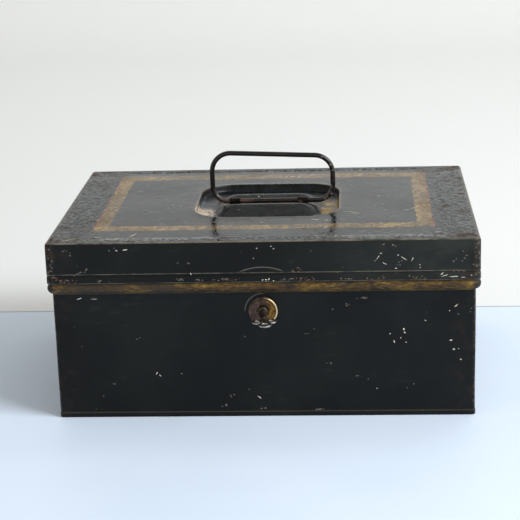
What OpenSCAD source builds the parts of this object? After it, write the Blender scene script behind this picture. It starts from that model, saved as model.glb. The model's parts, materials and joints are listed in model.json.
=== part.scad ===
// Japanned tin cash box: hinged lid with a folding wire handle, lock with
// key, and a lift-out coin tray. Origin at the middle of the underside,
// +X to the right, +Y to the hinges, +Z up, millimetres.

/* [Body] */
// Outside width of the body
body_w = 300; // [290:1:320]
// Outside depth of the body, front to back
body_d = 216; // [210:1:230]
// Height of the ledge that the lid closes on
ledge_z = 102; // [101:0.5:106]
// Height of the neck above the ledge
neck_h = 10; // [8:0.5:11]
// Thickness of the tin sheet
sheet = 0.7; // [0.6:0.1:0.8]
// Radius of the half-round bead below the ledge
bead_r = 3.75; // [3:0.05:3.8]

/* [Lid] */
// How far the lid stands out past the body, each side
lid_over = 2.9; // [2.5:0.1:3.2]
// Height of the lid's wall
lid_h = 30; // [29:0.5:34]

/* [Handle] */
// Diameter of the handle's wire
wire_d = 3.8; // [3.6:0.1:3.9]
// Width of the dish that the handle folds into
dish_w = 107; // [106:1:112]
// Depth of the dish, front to back
dish_d = 100; // [98:1:106]
// Depth of the dish below the lid's top
dish_h = 5.5; // [5:0.1:6]

/* [Lock] */
// Diameter of the brass escutcheon
escutcheon_d = 21; // [19:0.5:24]
// Height of the keyhole above the table
key_z = 80; // [79:0.5:81]
// Throw of the bolt
bolt_throw = 6; // [5:0.5:6]

/* [Tray] */
// Height of the coin tray
tray_h = 34.9; // [30:0.1:35]
// Depth of the row of coin cups
cup_d = 84; // [70:1:100]

/* [Hidden] */
$fn = 64;

japan = "#1c2022";
tin = "#9a968a";
brass = "#9a7b3a";
steel = "#8d8f91";
gold_paint = "#7d6330";

// Body
corner_r = 2;
bead_z = ledge_z - bead_r;
ledge_w = 2.4;
hem_h = 3.5;
hem_t = 0.35;
wall_x = body_w / 2;
wall_y = body_d / 2;

// Lid
lid_w = body_w + 2 * lid_over;
lid_d = body_d + 2 * lid_over;
lid_r = 3;
lid_gap = 0.1;
lid_low = ledge_z + lid_gap;
lid_top = ledge_z + lid_h;
band_h = 5;
band_t = 0.5;

// Hinges
hinge_x = 95;
hinge_w = 40;
hinge_y = wall_y + lid_over + 2.7;
hinge_z = ledge_z - 1.4;
knuckle_r = 2.2;
pin_r = 1;
running = 0.05;
lid_knuckle_w = 13.2;
knuckle_gap = 0.4;
leaf_t = 0.8;

// Handle, dish and saddle
handle_y = 4.8;
handle_z = lid_top - 0.4;
wire_r = wire_d / 2;
leg_left = -42.8;
leg_right = 49.3;
loop_h_left = 38.5;
loop_slope = 2.3;
corner_low = 12;
corner_top = 14;
dish_r = 26;
dish_flange = 5;
saddle_crest_x = 36;
saddle_foot_x = 40;
crest_y = 15.4;
foot_y = 28;
crest_z = lid_top + 1.2;
valley_z = handle_z - wire_r - 0.4;
floor_z = lid_top - dish_h;
clip_x = 26;
clip_w = 8;
clip_t = 0.5;

// Lock
front_in = -wall_y + sheet;
case_wall = 0.8;
case_x = [-32, 33];
case_z = [key_z - 14, ledge_z + 2];
case_back = front_in + 11.3;
bit_r = 8.5;
bit_t = 2;
barrel_r = 2.8;
post_r = 1.2;
stump_r = 1.6;
stump_x = 18;
stump_z = key_z + 12;
bolt_y = [-wall_y + 3.5, -wall_y + 5];
bolt_z = [key_z + 7, key_z + 16.5];
lever_y = [-wall_y + 5.4, -wall_y + 6.4];
catch_x = [-20, -8.5];
catch_gap = 0.6;
head_z = [key_z + 9.8, key_z + 15.6];
key_lean = 7;

// Tray
rest_z = ledge_z - 34;
tray_w = body_w - 2 * sheet - 2;
tray_front = -wall_y + 14;
tray_back = wall_y - 2.2;
tray_z = rest_z + 0.1;
tray_t = 0.8;
tray_split = tray_front + cup_d;
cups = 4;

// ---------------------------------------------------------------- helpers

module rounded_rect(w, d, r) {
    square([w - 2 * r, d], center = true);
    square([w, d - 2 * r], center = true);
    for (x = [-1, 1], y = [-1, 1])
        translate([x * (w / 2 - r), y * (d / 2 - r)])
            circle(r = r);
}

module ring_wall(w, d, r, t, low, high) {
    translate([0, 0, low])
        linear_extrude(high - low)
            difference() {
                rounded_rect(w, d, r);
                rounded_rect(w - 2 * t, d - 2 * t, r - t);
            }
}

// Block between two opposite corners
module block(low, high) {
    translate(low)
        cube(high - low);
}

// Round bar along Y, from y0 to y1
module bar_y(x, z, r, y0, y1) {
    translate([x, y0, z])
        rotate([-90, 0, 0])
            cylinder(h = y1 - y0, r = r);
}

// Round bar along X, from x0 to x1
module bar_x(y, z, r, x0, x1) {
    translate([x0, y, z])
        rotate([0, 90, 0])
            cylinder(h = x1 - x0, r = r);
}

// Outline drawn in Y and Z, extruded along X, centred on x = 0
module slab_x(w) {
    rotate([90, 0, 90])
        linear_extrude(w, center = true)
            children();
}

// Outline drawn in X and Z, extruded from y0 to y1
module slab_y(y0, y1) {
    translate([0, y1, 0])
        rotate([90, 0, 0])
            linear_extrude(y1 - y0)
                children();
}

// ------------------------------------------------------------------- body

// Half of the bead's section: x is outward from the wall, y is height
module bead_profile() {
    intersection() {
        union() {
            translate([0, bead_z])
                circle(r = bead_r);
            translate([0, bead_z])
                square([ledge_w, bead_r]);
        }
        translate([0, bead_z - bead_r])
            square([bead_r, 2 * bead_r]);
    }
}

module bead() {
    for (side = [0:3]) {
        across = side % 2 == 0 ? body_w : body_d;
        out = side % 2 == 0 ? wall_y : wall_x;
        rotate([0, 0, 90 * side])
            translate([0, out, 0])
                slab_x(across - 2 * corner_r)
                    bead_profile();
    }
    for (x = [0, 1], y = [0, 1])
        mirror([x, 0, 0])
            mirror([0, y, 0])
                translate([wall_x - corner_r, wall_y - corner_r, 0])
                    rotate_extrude(angle = 90)
                        translate([corner_r, 0])
                            bead_profile();
}

// Keyhole through the front: round eye with a slot below for the bit
module keyhole(y0, y1) {
    bar_y(0, key_z, barrel_r + 0.7, y0, y1);
    block([-bit_t / 2 - 0.6, y0, key_z - bit_r - 0.8], [bit_t / 2 + 0.6, y1, key_z]);
}

module body_shell() {
    color(japan)
        difference() {
            union() {
                ring_wall(body_w, body_d, corner_r, sheet, 0, ledge_z + neck_h);
                ring_wall(body_w + 2 * hem_t, body_d + 2 * hem_t, corner_r + hem_t, hem_t, 0, hem_h);
                bead();
            }
            for (side = [-1, 1])
                translate([side * hinge_x - hinge_w / 2 - 3, wall_y, bead_z - bead_r - 1])
                    cube([hinge_w + 6, 2 * bead_r, 2 * bead_r + 2]);
            keyhole(-wall_y - 1, -wall_y + 2);
        }
}

module base_pan() {
    color(japan)
        linear_extrude(sheet)
            rounded_rect(body_w - 2 * sheet, body_d - 2 * sheet, corner_r - sheet);
}

// Lapped seam down the middle of the back
module back_seam() {
    color(japan)
        block([-4, wall_y, hem_h], [4, wall_y + 0.5, bead_z - bead_r]);
}

module tray_rest(side) {
    inner = wall_x - sheet;
    color(japan)
        mirror([side < 0 ? 1 : 0, 0, 0]) {
            block([inner - sheet, -80, rest_z - 10], [inner, 95, rest_z]);
            block([inner - 6, -80, rest_z - sheet], [inner - sheet, 95, rest_z]);
        }
}

// ------------------------------------------------------------------- lock

module escutcheon() {
    face = -wall_y - 1.4;
    rim = -wall_y - 2.2;
    color(brass)
        difference() {
            bar_y(0, key_z, escutcheon_d / 2, rim, -wall_y);
            bar_y(0, key_z, escutcheon_d / 2 - 1.5, rim - 1, face);
            keyhole(rim - 1, -wall_y + 1);
        }
}

module lock_case() {
    slot = [catch_x[0] - 1.5, catch_x[1] + 1];
    color(tin)
        difference() {
            block([case_x[0], front_in, case_z[0]], [case_x[1], case_back, case_z[1]]);
            block([case_x[0] + case_wall, front_in - 1, case_z[0] + case_wall],
                  [case_x[1] - case_wall, case_back - case_wall, case_z[1] - case_wall]);
            block([slot[0], bolt_y[0] - 1.3, case_z[1] - 2], [slot[1], bolt_y[1] + 1.4, case_z[1] + 1]);
        }
}

// Post that the key's barrel turns on
module lock_post() {
    color(steel)
        bar_y(0, key_z, post_r, front_in + 0.8, case_back - case_wall);
}

// Stump that guides the bolt and carries the lever
module lock_stump() {
    color(steel)
        bar_y(stump_x, stump_z, stump_r, front_in + 1, case_back - case_wall);
}

// Leaf spring above the lever, drawn in its lifted shape
module lever_spring() {
    top = stump_z + 6;
    color(steel)
        slab_y(lever_y[0], lever_y[1])
            polygon([
                [case_x[1] - case_wall, top], [11.5, top], [10.8, top - 1.6],
                [11.4, top - 1.8], [12, top - 0.4], [case_x[1] - case_wall, top - 0.4]
            ]);
}

module lock_bolt() {
    slot = [stump_x - stump_r - 0.2, stump_x + bolt_throw + stump_r + 0.2];
    talon = [4.4, 10];
    color(steel)
        slab_y(bolt_y[0], bolt_y[1])
            difference() {
                union() {
                    translate([-2, bolt_z[0]])
                        square([31, bolt_z[1] - bolt_z[0]]);
                    translate([-8, head_z[0]])
                        square([8, head_z[1] - head_z[0]]);
                }
                translate([slot[0], stump_z - stump_r - 0.2])
                    square([slot[1] - slot[0], 2 * stump_r + 0.4]);
                translate([talon[0], bolt_z[0] - 1])
                    square([talon[1] - talon[0], 4]);
            }
}

module lock_lever() {
    belly = key_z + 6.8;
    color(brass)
        difference() {
            union() {
                slab_y(lever_y[0], lever_y[1])
                    polygon([
                        [-4, belly], [9, belly], [stump_x, stump_z - 4],
                        [stump_x, stump_z + 4], [9, stump_z + 3], [-4, belly + 4]
                    ]);
                bar_y(stump_x, stump_z, 4, lever_y[0], lever_y[1]);
            }
            bar_y(stump_x, stump_z, stump_r + running, lever_y[0] - 1, lever_y[1] + 1);
        }
}

// One pierced lobe of the key's bow, lying flat
module bow_lobe(x, y, r) {
    translate([x, y, 0])
        circle(r = r);
}

module key_bow() {
    thick = 1.8;
    difference() {
        translate([0, 0, -thick / 2])
            linear_extrude(thick)
                difference() {
                    union() {
                        bow_lobe(-4.8, -10, 4);
                        bow_lobe(4.8, -10, 4);
                        bow_lobe(0, -17, 4.8);
                        translate([-2.2, -14])
                            square([4.4, 14]);
                    }
                    bow_lobe(-5.2, -10.4, 1.9);
                    bow_lobe(5.2, -10.4, 1.9);
                    bow_lobe(0, -17, 2.6);
                }
    }
}

module key() {
    tip = case_back - case_wall - 2;
    mouth = -wall_y - 2.9;
    color(steel)
        translate([0, 0, key_z]) {
            difference() {
                bar_y(0, 0, barrel_r, mouth - 6, tip);
                bar_y(0, 0, post_r + running, front_in, tip + 1);
            }
            bar_y(0, 0, barrel_r + 0.9, mouth - 1.6, mouth);
            block([barrel_r - 0.5, front_in + 1.3, -bit_t / 2], [bit_r, tip - 1.5, bit_t / 2]);
            translate([0, mouth - 5, 0])
                rotate([0, 0, key_lean]) {
                    bar_y(0, 0, 2.2, -12, 0);
                    translate([0, -7, 0])
                        key_bow();
                }
        }
}

// ------------------------------------------------------------------ catch

module catch_bracket() {
    inside = -lid_d / 2 + sheet;
    color(tin)
        block([-28, inside, lid_low + 9], [0, inside + 0.8, lid_top - sheet]);
}

module lid_catch() {
    face = -lid_d / 2 + sheet + 0.8;
    strap = ledge_z + neck_h + 3;
    notch = [head_z[0] - catch_gap, head_z[1] + catch_gap];
    color(steel)
        difference() {
            union() {
                block([catch_x[0], face, strap], [catch_x[1], face + 1.5, strap + 11]);
                block([catch_x[0], face, strap], [catch_x[1], bolt_y[1], strap + 1.5]);
                block([catch_x[0], bolt_y[0], key_z + 8], [catch_x[1], bolt_y[1], strap + 1.5]);
            }
            block([catch_x[1] - bolt_throw - 0.6, bolt_y[0] - 1, notch[0]],
                  [catch_x[1] + 1, bolt_y[1] + 1, notch[1]]);
        }
}

module catch_rivets() {
    face = -lid_d / 2 + sheet + 2.3;
    color(steel)
        for (x = [catch_x[0] + 3, catch_x[1] - 3])
            bar_y(x, ledge_z + neck_h + 9, 1.5, face, face + 0.8);
}

// ----------------------------------------------------------------- hinges

module case_leaf_profile() {
    polygon([
        [wall_y, hinge_z - 22], [wall_y + leaf_t, hinge_z - 22], [wall_y + leaf_t, hinge_z - 5],
        [hinge_y + 1.2, hinge_z - 1.6], [hinge_y - 1.6, hinge_z + 0.6], [wall_y, hinge_z - 3]
    ]);
    translate([hinge_y, hinge_z])
        circle(r = knuckle_r);
}

module lid_leaf_profile() {
    back = lid_d / 2;
    polygon([
        [back, hinge_z + 20], [back, lid_low + 1], [hinge_y - 1.9, hinge_z + 0.6],
        [hinge_y + 1.6, hinge_z + 1], [back + leaf_t, lid_low + 4], [back + leaf_t, hinge_z + 20]
    ]);
    translate([hinge_y, hinge_z])
        circle(r = knuckle_r);
}

module hinge_leaf_case(side) {
    room = lid_knuckle_w + 2 * knuckle_gap;
    color(steel)
        translate([side * hinge_x, 0, 0])
            difference() {
                slab_x(hinge_w)
                    case_leaf_profile();
                block([-room / 2, wall_y + leaf_t + 0.2, hinge_z - 6.5], [room / 2, hinge_y + 5, hinge_z + 5]);
                bar_x(hinge_y, hinge_z, pin_r, -hinge_w, hinge_w);
            }
}

module hinge_leaf_lid(side) {
    back = lid_d / 2;
    color(steel)
        translate([side * hinge_x, 0, 0]) {
            difference() {
                slab_x(lid_knuckle_w)
                    lid_leaf_profile();
                bar_x(hinge_y, hinge_z, pin_r + running, -hinge_w, hinge_w);
            }
            block([-hinge_w / 2, back, lid_low + 5], [hinge_w / 2, back + leaf_t, hinge_z + 20]);
        }
}

module hinge_pin(side) {
    color(steel)
        translate([side * hinge_x, 0, 0]) {
            bar_x(hinge_y, hinge_z, pin_r, -hinge_w / 2, hinge_w / 2);
            for (end = [-1, 1])
                translate([end * (hinge_w / 2 + 0.4), hinge_y, hinge_z])
                    rotate([0, 90, 0])
                        cylinder(h = 0.8, r = pin_r + 0.6, center = true);
        }
}

// Flat round heads of the rivets through one kind of leaf
module hinge_rivets(face, z) {
    color(steel)
        for (side = [-1, 1], x = [-13, 0, 13])
            bar_y(side * hinge_x + x, z, 1.8, face, face + 0.7);
}

// -------------------------------------------------------------------- lid

module lid_shell() {
    color(japan) {
        difference() {
            union() {
                translate([0, 0, lid_top - sheet])
                    linear_extrude(sheet)
                        rounded_rect(lid_w, lid_d, lid_r);
                ring_wall(lid_w, lid_d, lid_r, sheet, lid_low, lid_top);
                difference() {
                    ring_wall(lid_w + 2 * band_t, lid_d + 2 * band_t, lid_r + band_t,
                              band_t, lid_low, lid_low + band_h);
                    block([-lid_w, lid_d / 2 - lid_r, lid_low - 1], [lid_w, lid_d, lid_low + band_h + 1]);
                }
            }
            translate([0, handle_y, lid_top - 2])
                linear_extrude(4)
                    rounded_rect(dish_w, dish_d, dish_r);
        }
    }
}

module handle_dish() {
    flange_z = lid_top - 2 * sheet;
    color(gold_paint)
        translate([0, handle_y, 0]) {
            translate([0, 0, floor_z - sheet])
                linear_extrude(sheet)
                    rounded_rect(dish_w + 2 * sheet, dish_d + 2 * sheet, dish_r + sheet);
            ring_wall(dish_w + 2 * sheet, dish_d + 2 * sheet, dish_r + sheet, sheet,
                      floor_z - sheet, lid_top - sheet);
            ring_wall(dish_w + 2 * dish_flange, dish_d + 2 * dish_flange, dish_r + dish_flange,
                      dish_flange - sheet, flange_z, lid_top - sheet);
        }
}

// Wrap of one strap over the wire, with its legs let into the saddle
module clip_outside(x) {
    outer = wire_r + running + clip_t;
    translate([x - clip_w / 2, 0, 0]) {
        bar_x(handle_y, handle_z, outer, 0, clip_w);
        block([0, handle_y - outer, valley_z - 1.2], [clip_w, handle_y + outer, handle_z]);
    }
}

module handle_saddle() {
    color(japan)
        difference() {
            intersection() {
                translate([0, handle_y, 0])
                    slab_x(2 * saddle_foot_x)
                        polygon([
                            [-foot_y, floor_z], [-crest_y - 1, crest_z], [-crest_y + 1, crest_z], [-3, valley_z],
                            [3, valley_z], [crest_y - 1, crest_z], [crest_y + 1, crest_z], [foot_y, floor_z]
                        ]);
                slab_y(-dish_d, dish_d)
                    polygon([
                        [-saddle_foot_x, floor_z], [-saddle_crest_x, crest_z],
                        [saddle_crest_x, crest_z], [saddle_foot_x, floor_z]
                    ]);
            }
            for (side = [-1, 1])
                clip_outside(side * clip_x);
        }
}

module handle_clips() {
    color(steel)
        for (side = [-1, 1])
            difference() {
                clip_outside(side * clip_x);
                bar_x(handle_y, handle_z, wire_r + running, side * clip_x - clip_w, side * clip_x + clip_w);
            }
}

// ----------------------------------------------------------------- handle

// Curved stretch of wire about a centre, from one angle through a sweep
module wire_arc(cx, cz, r, from, sweep) {
    translate([cx, 0, cz])
        rotate([90, 0, 0])
            rotate([0, 0, from])
                rotate_extrude(angle = sweep)
                    translate([r, 0])
                        circle(r = wire_r);
}

// Straight stretch of wire between two points in X and Z
module wire_run(p, q, r = wire_r) {
    step = q - p;
    translate([p[0], 0, p[1]])
        rotate([0, atan2(step[0], step[1]), 0])
            cylinder(h = norm(step), r = r);
}

// Height at which a corner arc centred at x meets the sloping top bar
function arc_z(x) = loop_h_left - (x - leg_left) * tan(loop_slope) - corner_top / cos(loop_slope);
function snap(z) = round(z * 100) / 100;

module handle() {
    c_left = leg_left + corner_top;
    c_right = leg_right - corner_top;
    z_left = snap(arc_z(c_left));
    z_right = snap(arc_z(c_right));
    off = corner_top * [sin(loop_slope), cos(loop_slope)];
    // The top bar's ends are let into the corners by this much
    lap = 0.4 * [cos(loop_slope), -sin(loop_slope)];
    color(japan)
        translate([0, handle_y, handle_z]) {
            wire_run([leg_left + corner_low, 0], [leg_right - corner_low, 0]);
            wire_arc(leg_left + corner_low, corner_low, corner_low, 180, 90);
            wire_arc(leg_right - corner_low, corner_low, corner_low, 270, 90);
            wire_run([leg_left, corner_low], [leg_left, z_left]);
            wire_run([leg_right, corner_low], [leg_right, z_right]);
            wire_arc(c_left, z_left, corner_top, 180, -90 - loop_slope);
            wire_arc(c_right, z_right, corner_top, 0, 90 - loop_slope);
            wire_run([c_left, z_left] + off - lap, [c_right, z_right] + off + lap, wire_r - 0.02);
        }
}

// ------------------------------------------------------------------- tray

module tray_pan() {
    depth = tray_back - tray_front;
    color(japan)
        translate([0, (tray_back + tray_front) / 2, 0]) {
            translate([0, 0, tray_z])
                linear_extrude(tray_t)
                    rounded_rect(tray_w, depth, corner_r);
            ring_wall(tray_w, depth, corner_r, tray_t, tray_z, tray_z + tray_h);
        }
}

module tray_long_divider() {
    x = tray_w / 2 - tray_t;
    color(japan)
        block([-x, tray_split, tray_z + tray_t], [x, tray_split + tray_t, tray_z + tray_h - 2]);
}

module tray_cup_divider(place) {
    x = place * tray_w / cups;
    color(japan)
        block([x - tray_t / 2, tray_front + tray_t, tray_z + tray_t], [x + tray_t / 2, tray_split, tray_z + tray_h - 4]);
}

module tray_note_divider() {
    color(japan)
        block([-tray_t / 2, tray_split + tray_t, tray_z + tray_t],
              [tray_t / 2, tray_back - tray_t, tray_z + tray_h - 4]);
}

// Finger tab that the tray is lifted by
module tray_tab(side) {
    x = tray_w / 2 - tray_t;
    top = tray_z + tray_h;
    color(tin)
        mirror([side < 0 ? 1 : 0, 0, 0])
            translate([x - tray_t, 0, 0])
                rotate([90, 0, 90])
                    linear_extrude(tray_t)
                        difference() {
                            union() {
                                translate([-6, top - 20])
                                    square([24, 14]);
                                translate([6, top - 6])
                                    circle(r = 12);
                            }
                            translate([6, top - 5])
                                circle(r = 7.5);
                        }
}

body_shell();
base_pan();
back_seam();
escutcheon();
lock_case();
lock_post();
lock_stump();
lever_spring();
lock_bolt();
lock_lever();
key();
hinge_leaf_case(-1);  // hinge_leaf_case_left
hinge_leaf_case(1);  // hinge_leaf_case_right
hinge_leaf_lid(-1);  // hinge_leaf_lid_left
hinge_leaf_lid(1);  // hinge_leaf_lid_right
hinge_pin(-1);  // hinge_pin_left
hinge_pin(1);  // hinge_pin_right
hinge_rivets(wall_y + leaf_t, hinge_z - 14);  // hinge_rivets_case
hinge_rivets(lid_d / 2 + leaf_t, hinge_z + 13);  // hinge_rivets_lid
tray_rest(-1);  // tray_rest_left
tray_rest(1);  // tray_rest_right
lid_shell();
handle_dish();
handle_saddle();
handle_clips();
handle();
catch_bracket();
lid_catch();
catch_rivets();
tray_pan();
tray_long_divider();
tray_cup_divider(-1);  // tray_cup_divider_left
tray_cup_divider(0);  // tray_cup_divider_middle
tray_cup_divider(1);  // tray_cup_divider_right
tray_note_divider();
tray_tab(-1);  // tray_tab_left
tray_tab(1);  // tray_tab_right
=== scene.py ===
import json
import random
from math import asin, ceil, copysign, cos, degrees, hypot, pi, radians, sin, tan

import bpy
from mathutils import Matrix, Vector, noise


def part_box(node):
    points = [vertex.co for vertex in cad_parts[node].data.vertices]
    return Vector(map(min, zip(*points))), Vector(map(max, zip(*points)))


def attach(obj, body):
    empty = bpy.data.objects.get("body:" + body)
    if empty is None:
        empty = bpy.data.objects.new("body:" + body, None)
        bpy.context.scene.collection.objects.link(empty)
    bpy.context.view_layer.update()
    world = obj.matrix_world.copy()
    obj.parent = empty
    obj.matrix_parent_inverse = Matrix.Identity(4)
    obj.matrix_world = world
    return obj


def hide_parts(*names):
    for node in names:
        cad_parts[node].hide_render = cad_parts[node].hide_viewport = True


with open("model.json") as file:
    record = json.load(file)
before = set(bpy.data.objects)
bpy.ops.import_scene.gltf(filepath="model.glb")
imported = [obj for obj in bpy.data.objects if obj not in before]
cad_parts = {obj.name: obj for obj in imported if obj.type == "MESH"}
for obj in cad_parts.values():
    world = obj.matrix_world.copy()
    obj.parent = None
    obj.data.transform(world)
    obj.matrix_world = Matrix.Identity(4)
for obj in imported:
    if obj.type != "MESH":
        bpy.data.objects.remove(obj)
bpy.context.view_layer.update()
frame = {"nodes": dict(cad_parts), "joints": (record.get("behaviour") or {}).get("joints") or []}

# Lengths below are millimetres in the part's own frame; a mesh is scaled to
# metres when it is made.
MM = 0.001


def box_mm(node):
    low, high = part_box(node)
    return low / MM, high / MM


# ------------------------------------------------------------------- sizes

body_high = box_mm("body_shell")[1]
pan_high = box_mm("base_pan")[1]
lid_low, lid_high = box_mm("lid_shell")
dish_low, dish_high = box_mm("handle_dish")
saddle_low, saddle_high = box_mm("handle_saddle")
handle_low, handle_high = box_mm("handle")
plate_low, plate_high = box_mm("escutcheon")
key_high = box_mm("key")[1]
leaf_low, leaf_high = box_mm("hinge_leaf_case_right")

SHEET = 0.7
WALL_X = pan_high.x + SHEET
WALL_Y = pan_high.y + SHEET
WALL_R = 2.0
STEP = 7.0

BEAD_R = body_high.x - WALL_X
LEDGE_Z = lid_low.z - 0.1
BEAD_Z = LEDGE_Z - BEAD_R
LEDGE_OUT = 2.4
HEM_Z = 3.5
HEM_OUT = 0.35
# Between these heights a wall is free to be uneven.
WALL_FREE = (16, 78)
LID_FREE = (118, 124)
HINGE_X = (leaf_low.x + leaf_high.x) / 2
HINGE_GAP = (leaf_high.x - leaf_low.x) / 2 + 3

BAND_OUT = 0.5
LID_X = lid_high.x - BAND_OUT
LID_Y = -lid_low.y - BAND_OUT
LID_R = 3.0
LID_TOP = lid_high.z
SWAGE_Z = lid_low.z + 5.9
EDGE_R = 1.5
LAP_W = 4.6

DISH_FLANGE = 5.0
DISH_X = dish_high.x - DISH_FLANGE
DISH_Y = (dish_high.y - dish_low.y) / 2 - DISH_FLANGE
DISH_MID = (dish_high.y + dish_low.y) / 2
DISH_R = 26.0
DISH_FLOOR = saddle_low.z

WIRE_R = handle_high.y - DISH_MID
HINGES = {j["name"]: Vector(j["pos_m"]) / MM for j in frame["joints"] if "pos_m" in j}
PIVOT = HINGES["handle_hinge"]
KEYHOLE = HINGES["key_turn"]

# ----------------------------------------------------------------- meshes


def smooth_mesh(name, points, faces, materials, bands=None):
    """A new object whose mesh is in metres; bands gives each face's material."""
    mesh = bpy.data.meshes.new(name)
    mesh.from_pydata([Vector(p) * MM for p in points], [], faces)
    for material in materials:
        mesh.materials.append(material)
    if bands:
        mesh.polygons.foreach_set("material_index", bands)
    mesh.polygons.foreach_set("use_smooth", [True] * len(faces))
    mesh.validate()
    mesh.update()
    made = bpy.data.objects.new(name, mesh)
    bpy.context.scene.collection.objects.link(made)
    return made


def mesh_piece(name, body, slot, points, faces, materials, bands=None):
    """A named piece that rides on a body."""
    piece = smooth_mesh(name, points, faces, materials, bands)
    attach(piece, body)
    return piece


def loft(rings, gaps=None, round_=True, wrap=False, first_cap=False, last_cap=False):
    """Points, faces and face bands of a skin over rings of equal length."""
    count = len(rings[0])
    points = [p for ring in rings for p in ring]
    faces, bands = [], []
    spans = len(rings) if wrap else len(rings) - 1
    for row in range(spans):
        here, there = row * count, ((row + 1) % len(rings)) * count
        for col in range(count if round_ else count - 1):
            nxt = (col + 1) % count
            faces.append((here + col, here + nxt, there + nxt, there + col))
            bands.append(gaps[row] if gaps else 0)
    if first_cap:
        faces.append(tuple(range(count - 1, -1, -1)))
        bands.append(bands[0])
    if last_cap:
        base = (len(rings) - 1) * count
        faces.append(tuple(range(base, base + count)))
        bands.append(bands[-1])
    return points, faces, bands


def join(parts):
    """One set of points, faces and bands from several."""
    points, faces, bands = [], [], []
    for part_points, part_faces, part_bands in parts:
        base = len(points)
        points += part_points
        faces += [tuple(base + i for i in face) for face in part_faces]
        bands += part_bands
    return points, faces, bands


def solidify(piece, thickness, inside):
    """Sheet thickness inward; the new faces take the material slot `inside` steps on."""
    shell = piece.modifiers.new("sheet", "SOLIDIFY")
    shell.thickness = thickness * MM
    shell.offset = -1
    shell.use_even_offset = False
    shell.material_offset = inside
    shell.material_offset_rim = inside
    return piece


def stops(half, step, marks=()):
    """Evenly spaced places from -half to half, with extra marks on both sides."""
    nearest = 0.6
    count = ceil(2 * half / step)
    extra = sorted({s * m for m in marks for s in (-1, 1)})
    even = [-half + 2 * half * i / count for i in range(count + 1)]
    clear = [p for p in even if all(abs(p - e) > nearest for e in extra)]
    return sorted(clear + extra)


def rounded(half_x, half_y, radius, marks=()):
    """Points round a rounded rectangle with their outward directions, from the front's left end."""
    along_x = stops(half_x - radius, STEP, marks)
    along_y = stops(half_y - radius, STEP)
    corner = 6
    spots = []

    def arc(cx, cy, start):
        for i in range(1, corner):
            turn = radians(start + 90 * i / corner)
            out = Vector((cos(turn), sin(turn)))
            spots.append((Vector((cx, cy)) + out * radius, out))

    cx, cy = half_x - radius, half_y - radius
    spots += [(Vector((x, -half_y)), Vector((0, -1))) for x in along_x]
    arc(cx, -cy, -90)
    spots += [(Vector((half_x, y)), Vector((1, 0))) for y in along_y]
    arc(cx, cy, 0)
    spots += [(Vector((x, half_y)), Vector((0, 1))) for x in reversed(along_x)]
    arc(-cx, cy, 90)
    spots += [(Vector((-half_x, y)), Vector((-1, 0))) for y in reversed(along_y)]
    arc(-cx, -cy, 180)
    return spots


def edge_along(direction, half_x, half_y, radius):
    """Distance from a rounded rectangle's middle to its edge in a direction."""
    near, far = 0.0, 2 * (half_x + half_y)
    for _ in range(30):
        mid = (near + far) / 2
        qx = abs(direction.x) * mid - (half_x - radius)
        qy = abs(direction.y) * mid - (half_y - radius)
        past = hypot(max(qx, 0), max(qy, 0)) + min(max(qx, qy), 0) - radius
        if past > 0:
            far = mid
        else:
            near = mid
    return near


def smooth_step(value, low, high):
    t = min(max((value - low) / (high - low), 0), 1)
    return t * t * (3 - 2 * t)


def ripple(place, size, height, seed=0):
    """Slow unevenness of hand-worked sheet, in millimetres."""
    return height * noise.noise(Vector(place) / size + Vector((seed, seed * 2, 0)))


def circle_y(centre, y, radius, count=48):
    """Ring about the Y axis."""
    return [
        (centre.x + radius * cos(a), y, centre.z + radius * sin(a))
        for a in (2 * pi * i / count for i in range(count))
    ]


def lathe_y(centre, profile, count=48, caps=(True, True)):
    rings = [circle_y(centre, y, r, count) for r, y in profile]
    return loft(rings, first_cap=caps[0], last_cap=caps[1])


def swept(path, section, closed=False):
    """Skin along a path, given as points and the normal of their plane; section is (across, up) pairs."""
    points, normal = path
    rings = []
    for i, p in enumerate(points):
        before = points[i - 1] if closed or i else points[i]
        after = points[(i + 1) % len(points)] if closed or i < len(points) - 1 else points[i]
        along = (after - before).normalized()
        across = along.cross(normal).normalized()
        rings.append([p + across * a + normal * u for a, u in section])
    return loft(rings, wrap=closed, first_cap=not closed, last_cap=not closed)


def oval(half_across, half_up, count=16, square=2.0):
    """Section from round (square = 2) towards flat with rounded edges."""
    spots = []
    for i in range(count):
        a = 2 * pi * i / count
        c, s = cos(a), sin(a)
        spots.append((
            half_across * copysign(abs(c) ** (2 / square), c),
            half_up * copysign(abs(s) ** (2 / square), s),
        ))
    return spots


# --------------------------------------------------------------- materials


def srgb(red, green, blue):
    """Linear colour from the 0 to 255 numbers of a colour picker."""
    def linear(value):
        value /= 255
        return value / 12.92 if value <= 0.04045 else ((value + 0.055) / 1.055) ** 2.4
    return (linear(red), linear(green), linear(blue), 1)


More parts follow.
